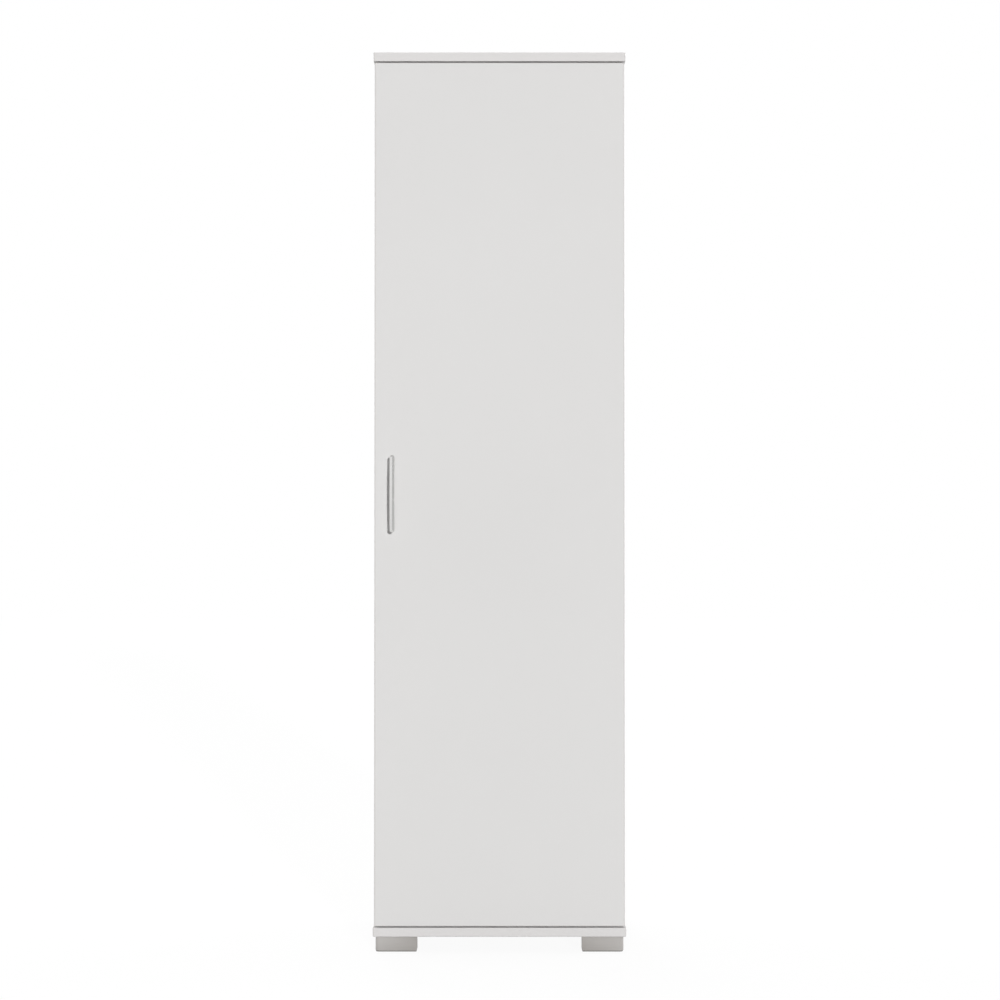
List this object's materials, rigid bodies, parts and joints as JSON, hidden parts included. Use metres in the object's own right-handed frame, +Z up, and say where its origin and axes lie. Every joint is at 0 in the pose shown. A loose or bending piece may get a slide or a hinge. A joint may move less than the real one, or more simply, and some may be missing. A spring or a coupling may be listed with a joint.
{
  "type": "broom cupboard",
  "caption": "Tall narrow white broom cupboard with a flat full-overlay door on concealed cup hinges, a bow handle, a hat shelf inside and silver-grey corner feet.",
  "frame": {"origin": "on the floor, under the middle of the whole object's box, handle included", "axes": "+Z up, +X to the right seen from the front, +Y to the back; the door faces -Y"},
  "size_m": [0.5, 0.379, 1.78],
  "materials": {
    "white_board": "white melamine-faced chipboard, satin",
    "hardboard": "hardboard, white lacquer inside, raw brown outside",
    "white_plastic": "moulded, satin",
    "beech": "plain, grooved",
    "satin_metal": "satin",
    "silver_plastic": "silver-grey, satin",
    "dark_pad": "matt",
    "clear_bumper": "clear soft plastic",
    "zinc": "die-cast",
    "plated_steel": "nickel-plated"
  },
  "bodies": {
    "carcass": {"back_joint_strip": "white_plastic", "back_panel_lower": "hardboard", "back_panel_nails": "plated_steel", "back_panel_upper": "hardboard", "bottom_panel": "white_board", "cam_bolts": "plated_steel", "cam_locks": "zinc", "door_bumpers": "clear_bumper", "foot_front_left": "silver_plastic", "foot_front_right": "silver_plastic", "foot_rear_left": "silver_plastic", "foot_rear_right": "silver_plastic", "foot_screws": "plated_steel", "glide_front_left": "dark_pad", "glide_front_right": "dark_pad", "glide_rear_left": "dark_pad", "glide_rear_right": "dark_pad", "hat_shelf": "white_board", "hinge_arm_1": "plated_steel", "hinge_arm_2": "plated_steel", "hinge_arm_3": "plated_steel", "hinge_arm_4": "plated_steel", "hinge_arm_screws": "plated_steel", "hinge_plate_1": "plated_steel", "hinge_plate_2": "plated_steel", "hinge_plate_3": "plated_steel", "hinge_plate_4": "plated_steel", "hinge_plate_screws": "plated_steel", "left_side_panel": "white_board", "right_side_panel": "white_board", "top_panel": "white_board", "wall_bracket": "plated_steel", "wall_bracket_screws": "plated_steel", "wood_dowels": "beech"},
    "door": {"door_panel": "white_board", "handle": "satin_metal", "handle_screws": "plated_steel", "hinge_cup_1": "plated_steel", "hinge_cup_2": "plated_steel", "hinge_cup_3": "plated_steel", "hinge_cup_4": "plated_steel", "hinge_cup_screws": "plated_steel", "hinge_pin_1": "plated_steel", "hinge_pin_2": "plated_steel", "hinge_pin_3": "plated_steel", "hinge_pin_4": "plated_steel"}
  },
  "joints": [
    {"name": "door_swing", "type": "hinge", "parent": "carcass", "child": "door", "pos_m": [0.24081, -0.1543, 0.9], "axis": [0, 0, 1], "range_deg": [0, 95]}
  ]
}
